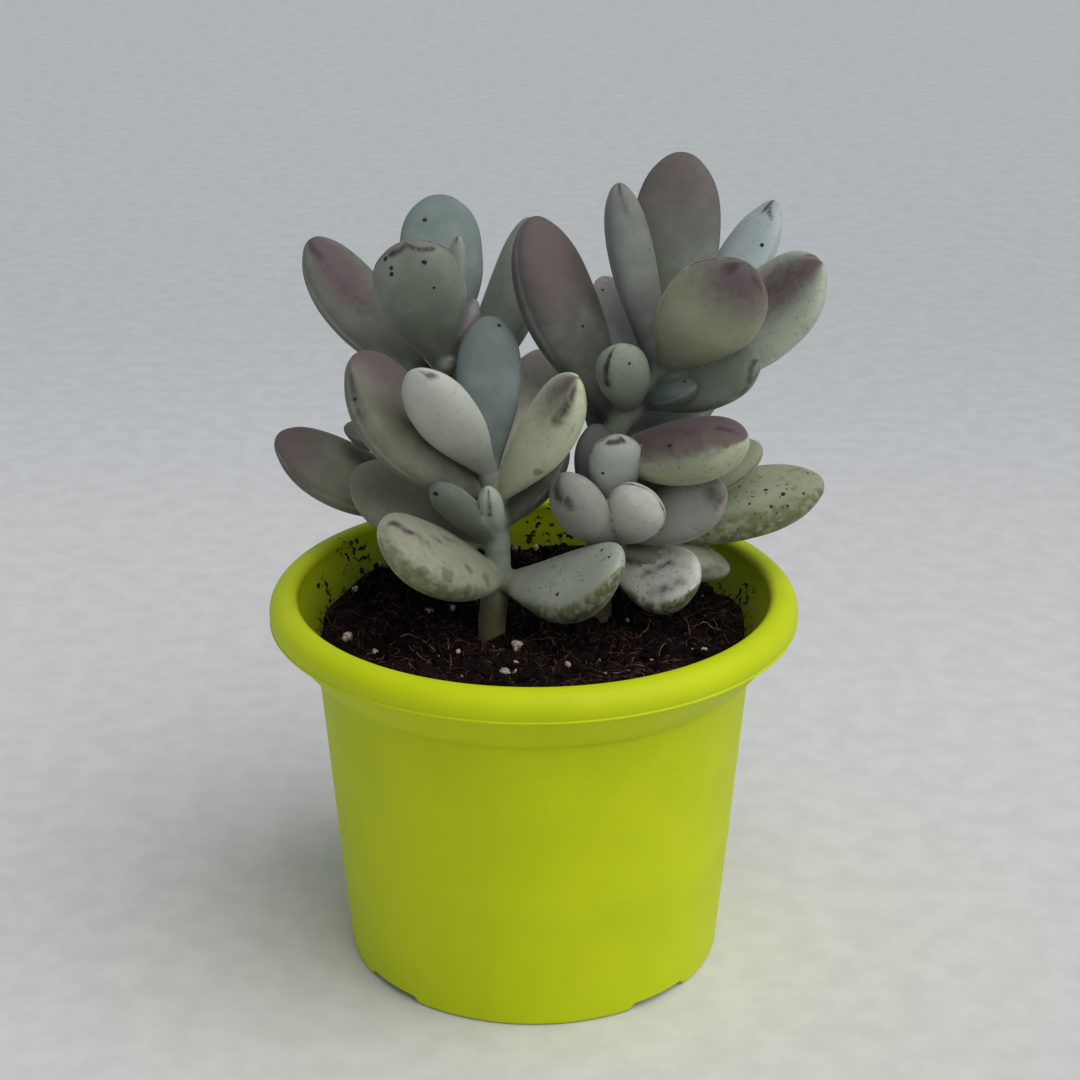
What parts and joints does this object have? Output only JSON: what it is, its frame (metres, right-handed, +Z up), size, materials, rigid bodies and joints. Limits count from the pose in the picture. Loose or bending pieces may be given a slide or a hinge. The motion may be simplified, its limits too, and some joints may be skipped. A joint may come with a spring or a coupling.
{
  "type": "potted cotyledon",
  "caption": "Small succulent with thick, waxy, paddle-shaped leaves in opposite pairs on short stems, planted in dark soil in a round plastic pot with a thick rounded rim.",
  "frame": {"origin": "centre of the pot's underside, on the plane that it rests on", "axes": "+Z up along the pot's axis, -Y towards the front of the plant as pictured, +X to the viewer's right"},
  "size_m": [0.1363, 0.13, 0.194],
  "materials": {
    "pot": "satin moulded plastic",
    "soil": "damp, crumbly and fibrous",
    "shoot": "waxy bloom"
  },
  "bodies": {
    "root": {"pot": "pot", "soil": "soil", "shoot_front_left": "shoot", "shoot_back_left": "shoot", "shoot_right": "shoot"}
  },
  "joints": []
}
